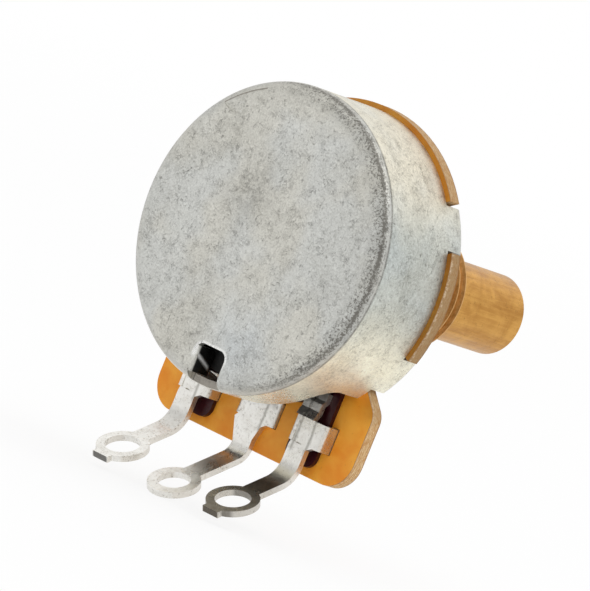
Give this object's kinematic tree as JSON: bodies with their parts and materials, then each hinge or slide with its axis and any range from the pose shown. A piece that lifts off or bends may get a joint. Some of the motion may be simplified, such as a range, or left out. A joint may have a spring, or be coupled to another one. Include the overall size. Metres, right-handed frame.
{
  "type": "rotary potentiometer",
  "caption": "Panel-mount rotary potentiometer with a solid shaft, a threaded brass bushing, a round steel cover and bent solder lugs on a phenolic wafer.",
  "frame": {"origin": "on the shaft's axis, in the front face of the bushing's flange, which bears on the panel", "axes": "-Y along the shaft towards its end, +Y towards the cover's back, -Z towards the tongue and its solder lugs"},
  "size_m": [0.0246, 0.0301, 0.0331],
  "materials": {
    "plated_steel": "dull zinc plate",
    "phenolic": "satin laminate with fibrous cut edges",
    "carbon_element": "dark maroon, satin",
    "tinned_brass": "bright tin",
    "turned_brass": "turned",
    "spring_steel": "dark",
    "moulded_black": "moulded",
    "spring_bronze": "rolled"
  },
  "bodies": {
    "housing": {"rear_cover": "plated_steel", "base_wafer": "phenolic", "front_plate": "plated_steel", "resistive_element": "carbon_element", "terminal_1": "tinned_brass", "terminal_2": "tinned_brass", "terminal_3": "tinned_brass", "bushing": "turned_brass"},
    "spindle": {"shaft": "turned_brass", "retaining_ring": "spring_steel", "spring_washer": "spring_steel", "rotor": "moulded_black", "wiper_contact": "spring_bronze"}
  },
  "joints": [
    {"name": "shaft_rotation", "type": "hinge", "parent": "housing", "child": "spindle", "pos_m": [0, 0, 0], "axis": [0, -1, 0], "range_deg": [-150, 150]}
  ]
}
